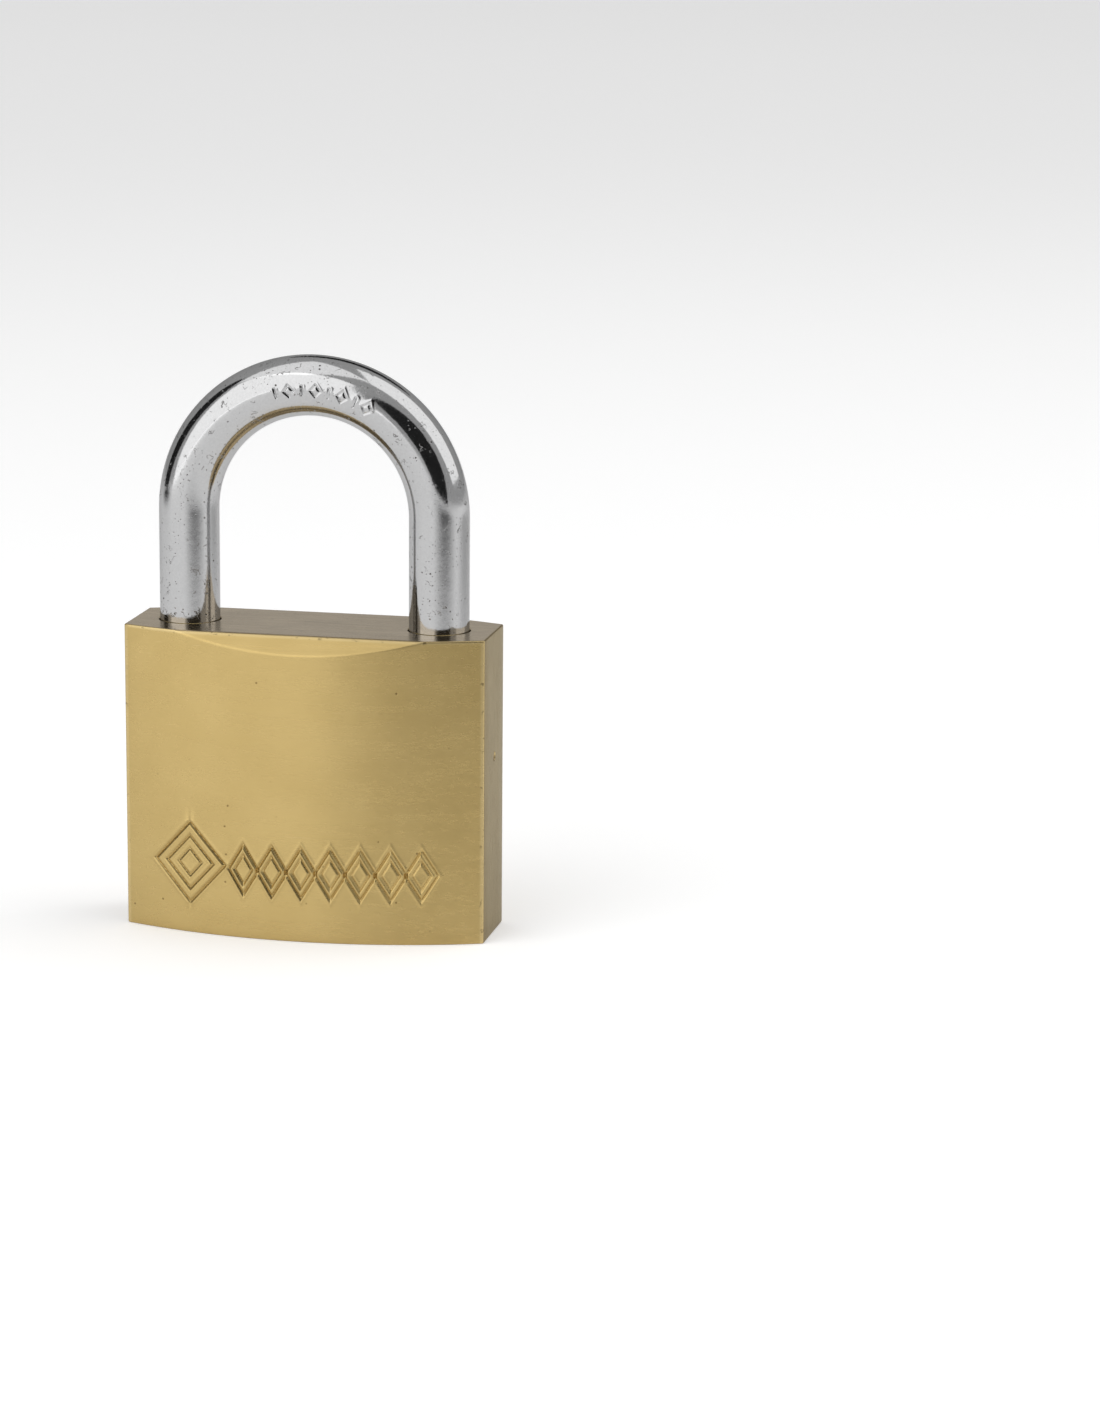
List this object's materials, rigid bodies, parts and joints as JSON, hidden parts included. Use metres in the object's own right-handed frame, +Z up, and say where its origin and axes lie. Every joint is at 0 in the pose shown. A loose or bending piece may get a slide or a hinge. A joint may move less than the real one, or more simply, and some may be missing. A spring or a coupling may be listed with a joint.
{
  "type": "padlock",
  "caption": "Solid brass padlock with a round steel U-shackle, opposed locking bolts and a keyed pin cylinder that opens at the bottom.",
  "frame": {"origin": "centre of the case's flat bottom face, which is also the centre of the key entry", "axes": "+X towards the shackle's heel leg, +Y towards the back face, +Z up along the shackle's legs"},
  "size_m": [0.05, 0.0214, 0.0785],
  "materials": {
    "case_brass": "fine brushed, lightly scratched",
    "plug_brass": "turned",
    "shackle_chrome": "polished plate, lightly pitted",
    "pin_steel": "ground",
    "spring_steel": "drawn wire"
  },
  "bodies": {
    "case": {"case": "case_brass", "shackle_spring": "spring_steel", "heel_retaining_pin": "pin_steel", "bolt_spring": "spring_steel", "bolt_bore_seal": "case_brass", "plug_retaining_pin": "pin_steel", "driver_pin_1": "pin_steel", "driver_pin_2": "pin_steel", "driver_pin_3": "pin_steel", "driver_pin_4": "pin_steel", "driver_pin_5": "pin_steel", "pin_spring_1": "spring_steel", "pin_spring_2": "spring_steel", "pin_spring_3": "spring_steel", "pin_spring_4": "spring_steel", "pin_spring_5": "spring_steel", "chamber_seal_1": "case_brass", "chamber_seal_2": "case_brass", "chamber_seal_3": "case_brass", "chamber_seal_4": "case_brass", "chamber_seal_5": "case_brass"},
    "plug": {"plug": "plug_brass", "cam": "pin_steel", "key_pin_1": "plug_brass", "key_pin_2": "plug_brass", "key_pin_3": "plug_brass", "key_pin_4": "plug_brass", "key_pin_5": "plug_brass"},
    "bolt_left": {"bolt_left": "pin_steel"},
    "bolt_right": {"bolt_right": "pin_steel"},
    "shackle": {"shackle": "shackle_chrome"}
  },
  "joints": [
    {"name": "plug_turn", "type": "hinge", "parent": "case", "child": "plug", "pos_m": [0, 0, 0], "axis": [0, 0, 1], "range_deg": [-90, 0], "deforming": ["bolt_spring"]},
    {"name": "shackle_lift", "type": "slide", "parent": "case", "child": "shackle", "axis": [0, 0, 1], "range_m": [0, 0.0144], "deforming": ["shackle_spring"]},
    {"name": "bolt_left_slide", "type": "slide", "parent": "case", "child": "bolt_left", "axis": [-1, 0, 0], "range_m": [0, 0.0018]},
    {"name": "bolt_right_slide", "type": "slide", "parent": "case", "child": "bolt_right", "axis": [1, 0, 0], "range_m": [0, 0.0018]}
  ],
  "couplings": [
    {"joint": "bolt_left_slide", "follows": "plug_turn", "m_per_rad": -0.0011459},
    {"joint": "bolt_right_slide", "follows": "plug_turn", "m_per_rad": -0.0011459}
  ]
}
